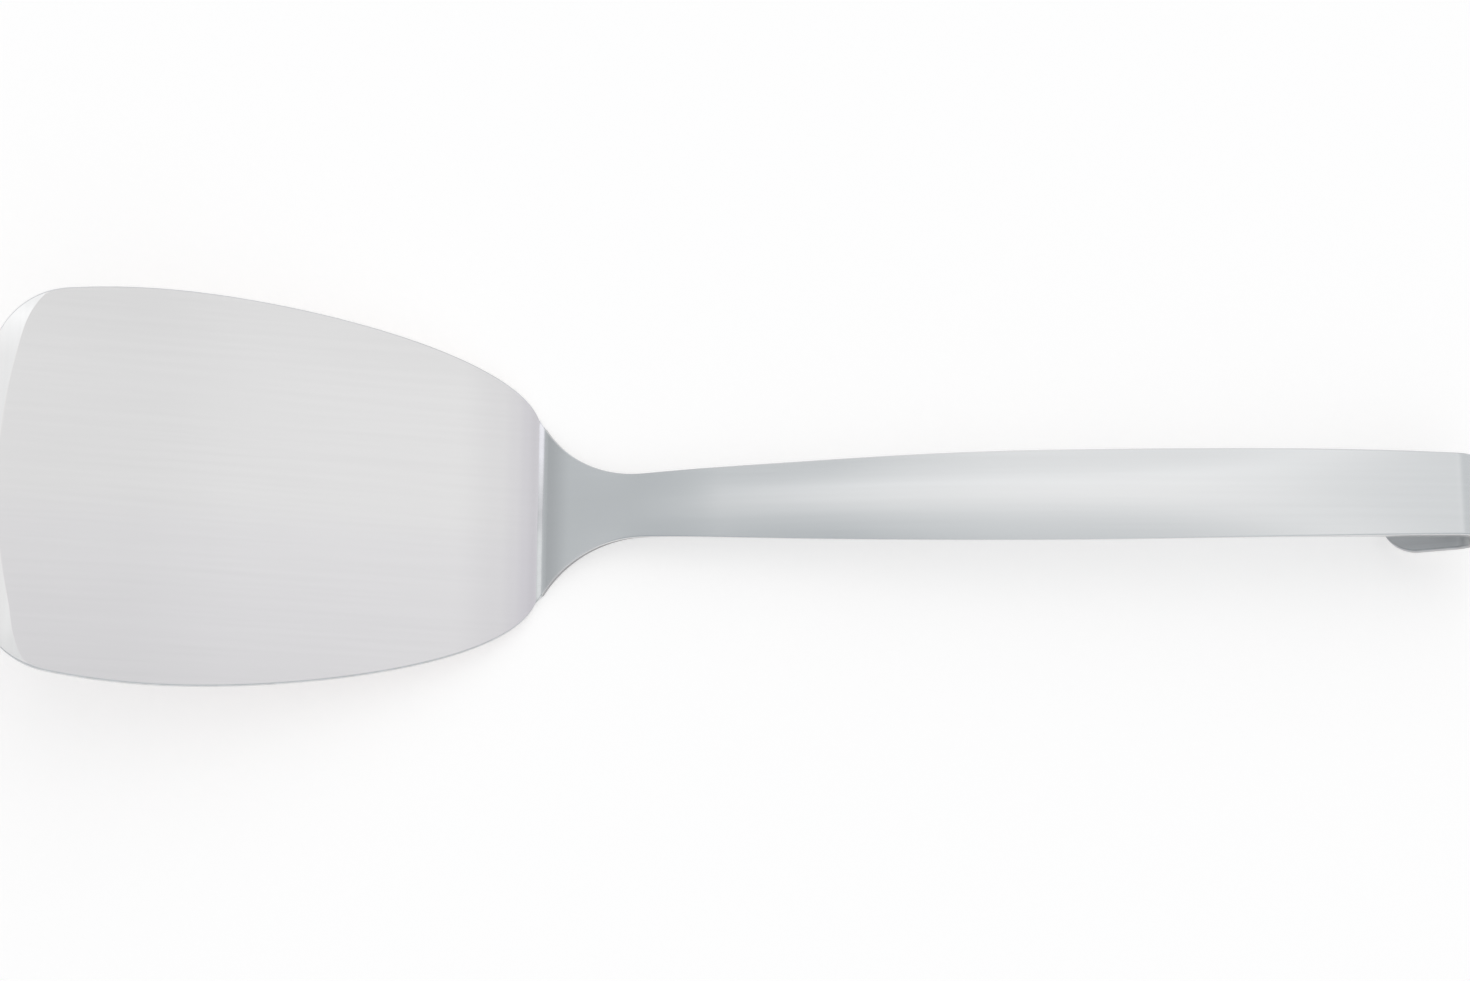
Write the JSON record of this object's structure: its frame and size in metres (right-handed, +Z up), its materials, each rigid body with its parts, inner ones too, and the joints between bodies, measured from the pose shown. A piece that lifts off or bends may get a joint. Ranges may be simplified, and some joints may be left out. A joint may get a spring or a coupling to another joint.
{
  "type": "spatula",
  "caption": "Stiff all-steel turner: a flat broad blade with a ground front edge, welded at an angle to an arched strap handle that ends in a hang hook.",
  "frame": {"origin": "on the table, under the middle of the part's box as it lies on its heel and on the free end of its hook", "axes": "+X along the part from the blade towards the hook, +Y across it, +Z up from the table"},
  "size_m": [0.3214, 0.087, 0.0336],
  "materials": {
    "blade_steel": "satin, brushed along the length, front edge ground bright",
    "weld_steel": "ground flush and polished",
    "handle_steel": "satin, brushed along the length"
  },
  "bodies": {
    "root": {"blade": "blade_steel", "weld_bead": "weld_steel", "handle": "handle_steel"}
  },
  "joints": []
}
